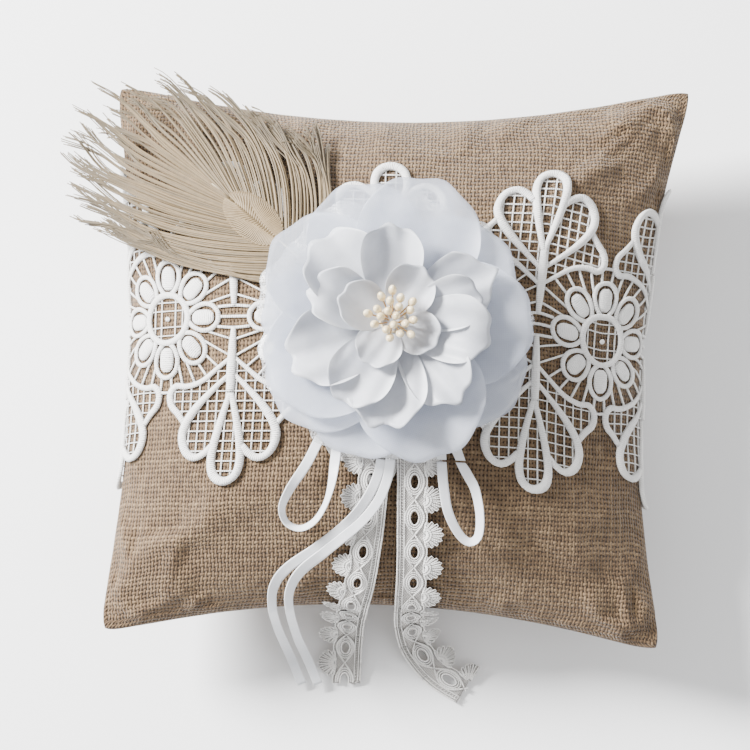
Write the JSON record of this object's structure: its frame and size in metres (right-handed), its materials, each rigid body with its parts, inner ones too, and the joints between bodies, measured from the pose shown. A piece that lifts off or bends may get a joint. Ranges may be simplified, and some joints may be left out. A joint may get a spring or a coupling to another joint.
{
  "type": "ring bearer pillow",
  "caption": "Square burlap ring pillow with a wrapped lace band, a layered fabric flower, a feather, a satin bow and crochet tails for tying on wedding rings.",
  "frame": {"origin": "middle of the flat patch of the back that the pillow rests on", "axes": "+Z out of the pillow's front face, +X to the right and +Y to the top when the front is seen with the bow tails hanging down"},
  "size_m": [0.2255, 0.2203, 0.0958],
  "materials": {
    "jute_burlap": "coarse plain weave",
    "cotton_liner": "plain weave",
    "polyester_fibre": "loose fibre",
    "seam_thread": "twisted thread",
    "guipure_lace": "satin embroidery thread",
    "felt": "matted",
    "glitter_tulle": "net with glitter",
    "organza": "sheer",
    "silk_petal": "soft sheen",
    "pearl_stamen": "pearl",
    "feather_quill": "horn",
    "feather_barbs": "soft, bleached",
    "satin_ribbon": "satin",
    "crochet_cotton": "crocheted thread"
  },
  "bodies": {
    "pillow": {"burlap_front_panel": "jute_burlap", "burlap_back_panel": "jute_burlap", "liner_front": "cotton_liner", "liner_back": "cotton_liner", "fibre_filling": "polyester_fibre", "perimeter_seam_thread": "seam_thread", "lace_band": "guipure_lace", "flower_felt_disc": "felt", "tulle_ruffle": "glitter_tulle", "organza_petals_lower": "organza", "organza_petals_upper": "organza", "silk_petals_outer": "silk_petal", "silk_petals_middle": "silk_petal", "silk_petals_inner": "silk_petal", "stamen_binding_thread": "seam_thread", "feather_quill": "feather_quill", "ribbon_knot": "satin_ribbon", "ribbon_bow_middle": "satin_ribbon", "crochet_trim_fold": "crochet_cotton", "stamen_01": "pearl_stamen", "stamen_02": "pearl_stamen", "stamen_03": "pearl_stamen", "stamen_04": "pearl_stamen", "stamen_05": "pearl_stamen", "stamen_06": "pearl_stamen", "stamen_07": "pearl_stamen", "stamen_08": "pearl_stamen", "stamen_09": "pearl_stamen", "stamen_10": "pearl_stamen", "stamen_11": "pearl_stamen", "stamen_12": "pearl_stamen", "stamen_13": "pearl_stamen", "stamen_14": "pearl_stamen", "stamen_15": "pearl_stamen", "stamen_16": "pearl_stamen", "stamen_17": "pearl_stamen", "stamen_18": "pearl_stamen", "stamen_19": "pearl_stamen", "stamen_20": "pearl_stamen"},
    "crochet_left": {"crochet_tail_left": "crochet_cotton"},
    "crochet_right": {"crochet_tail_right": "crochet_cotton"},
    "ribbon_left": {"ribbon_tail_left": "satin_ribbon"},
    "ribbon_right": {"ribbon_tail_right": "satin_ribbon"},
    "loop_left": {"ribbon_loop_left": "satin_ribbon"},
    "loop_right": {"ribbon_loop_right": "satin_ribbon"},
    "feather": {"feather_shaft": "feather_quill", "feather_vane_left": "feather_barbs", "feather_vane_right": "feather_barbs"}
  },
  "joints": [
    {"name": "crochet_left_lift", "type": "hinge", "parent": "pillow", "child": "crochet_left", "pos_m": [-0.00815, -0.037, 0.07227], "axis": [-1, 0, 0], "range_deg": [0, 30]},
    {"name": "crochet_right_lift", "type": "hinge", "parent": "pillow", "child": "crochet_right", "pos_m": [0.01045, -0.037, 0.07208], "axis": [-1, 0, 0], "range_deg": [0, 40]},
    {"name": "ribbon_left_lift", "type": "hinge", "parent": "crochet_left", "child": "ribbon_left", "pos_m": [-0.003, -0.037, 0.07238], "axis": [-1, 0, 0], "range_deg": [0, 20]},
    {"name": "ribbon_right_lift", "type": "hinge", "parent": "ribbon_left", "child": "ribbon_right", "pos_m": [0.0001, -0.037, 0.07239], "axis": [-1, 0, 0], "range_deg": [0, 20]},
    {"name": "loop_left_lift", "type": "hinge", "parent": "pillow", "child": "loop_left", "pos_m": [-0.0226, -0.037, 0.07129], "axis": [-1, 0, 0], "range_deg": [0, 45]},
    {"name": "loop_right_lift", "type": "hinge", "parent": "crochet_right", "child": "loop_right", "pos_m": [0.0204, -0.037, 0.07131], "axis": [-1, 0, 0], "range_deg": [0, 30]},
    {"name": "feather_lift", "type": "hinge", "parent": "pillow", "child": "feather", "pos_m": [-0.0345, 0.0312, 0.06898], "axis": [0.6494, 0.7604, 0], "range_deg": [0, 15]}
  ]
}
